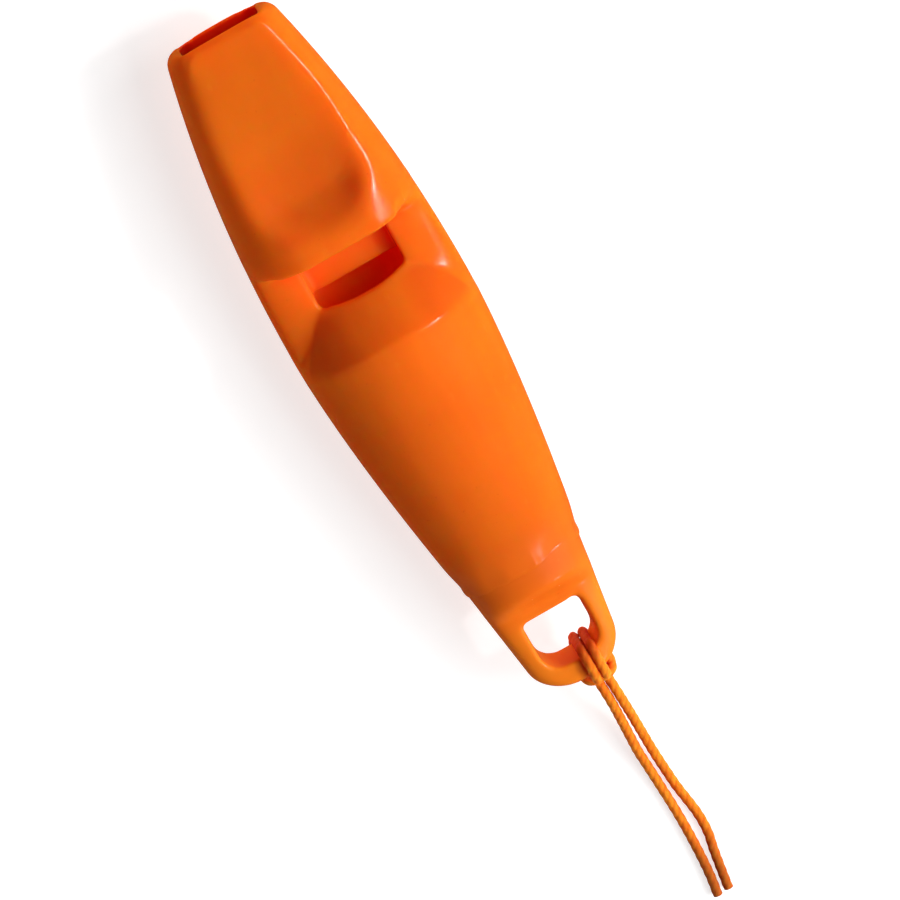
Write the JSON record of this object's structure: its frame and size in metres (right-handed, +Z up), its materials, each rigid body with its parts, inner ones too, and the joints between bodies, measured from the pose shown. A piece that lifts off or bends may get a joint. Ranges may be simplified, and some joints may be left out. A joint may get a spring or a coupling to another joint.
{
  "type": "safety whistle",
  "caption": "Pealess torpedo-shaped safety whistle: flat lip mouthpiece, sound window with labium ramp, plugged resonance chamber, and a lanyard eye with a short tied cord.",
  "frame": {"origin": "under the middle of the two mouldings, on the surface that the whistle lies on", "axes": "+X from the mouthpiece to the lanyard eye, +Z up out of the sound window"},
  "size_m": [0.1087, 0.019, 0.0133],
  "materials": {
    "body_plastic": "semi-gloss moulded orange",
    "cap_plastic": "semi-gloss moulded orange",
    "cord": "twisted orange twine"
  },
  "bodies": {
    "whistle": {"whistle_body": "body_plastic", "tail_cap": "cap_plastic", "lanyard_hitch": "cord"},
    "left_tail": {"lanyard_tail_left": "cord"},
    "right_tail": {"lanyard_tail_right": "cord"}
  },
  "joints": [
    {"name": "left_tail_swing", "type": "hinge", "parent": "whistle", "child": "left_tail", "pos_m": [0.04262, 0.00048, 0.00458], "axis": [0, -1, 0], "range_deg": [0, 80]},
    {"name": "right_tail_swing", "type": "hinge", "parent": "whistle", "child": "right_tail", "pos_m": [0.04262, 0.00192, 0.00458], "axis": [0, -1, 0], "range_deg": [0, 80]}
  ]
}
